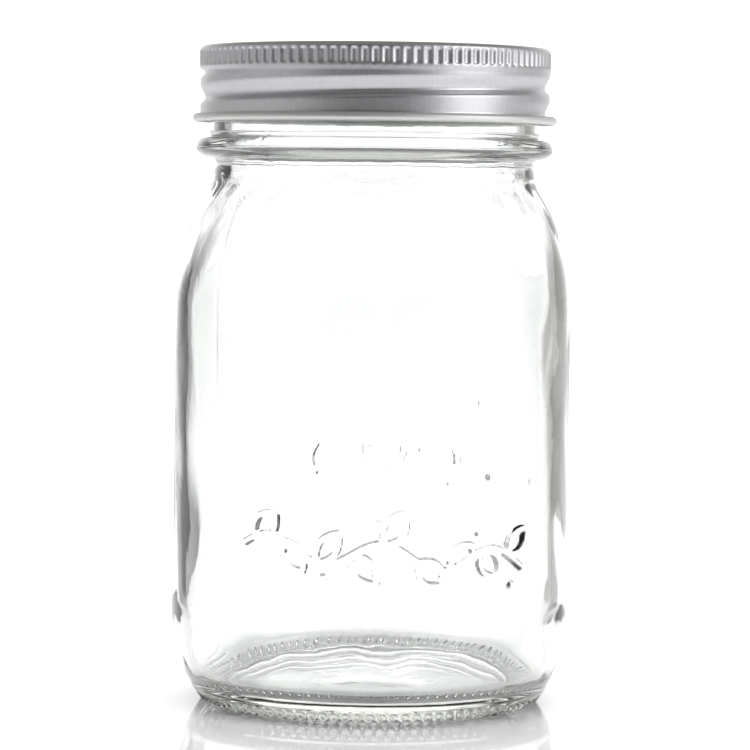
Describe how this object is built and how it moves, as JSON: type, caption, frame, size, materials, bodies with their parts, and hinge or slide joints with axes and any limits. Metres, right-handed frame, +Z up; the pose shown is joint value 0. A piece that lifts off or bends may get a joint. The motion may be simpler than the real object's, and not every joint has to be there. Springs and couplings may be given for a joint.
{
  "type": "mason jar",
  "caption": "Clear glass canning jar with a threaded mouth, closed by a flat metal disc with a bonded seal and a knurled screw band.",
  "frame": {"origin": "middle of the base, on the surface that the jar stands on", "axes": "+Z up along the jar's axis, and the raised motif on the front faces -Y"},
  "size_m": [0.0804, 0.0808, 0.1318],
  "materials": {
    "clear_glass": "clear soda-lime glass, gloss, faint green at the edges",
    "band_tinplate": "fine diagonal brushing, satin",
    "disc_tinplate": "pale gold lacquer over tinplate, satin",
    "seal_compound": "matte"
  },
  "bodies": {
    "jar": {"glass_jar": "clear_glass"},
    "lid": {"lid_disc": "disc_tinplate", "seal_ring": "seal_compound"},
    "band": {"screw_band": "band_tinplate"}
  },
  "joints": [
    {"name": "lid_lift", "type": "slide", "parent": "jar", "child": "lid", "axis": [0, 0, 1], "range_m": [0, 0.0255]},
    {"name": "band_turn", "type": "hinge", "parent": "lid", "child": "band", "pos_m": [0, 0, 0.1318], "axis": [0, 0, 1], "range_deg": [0, 1800]}
  ],
  "couplings": [
    {"joint": "lid_lift", "follows": "band_turn", "m_per_rad": 0.00080851}
  ]
}
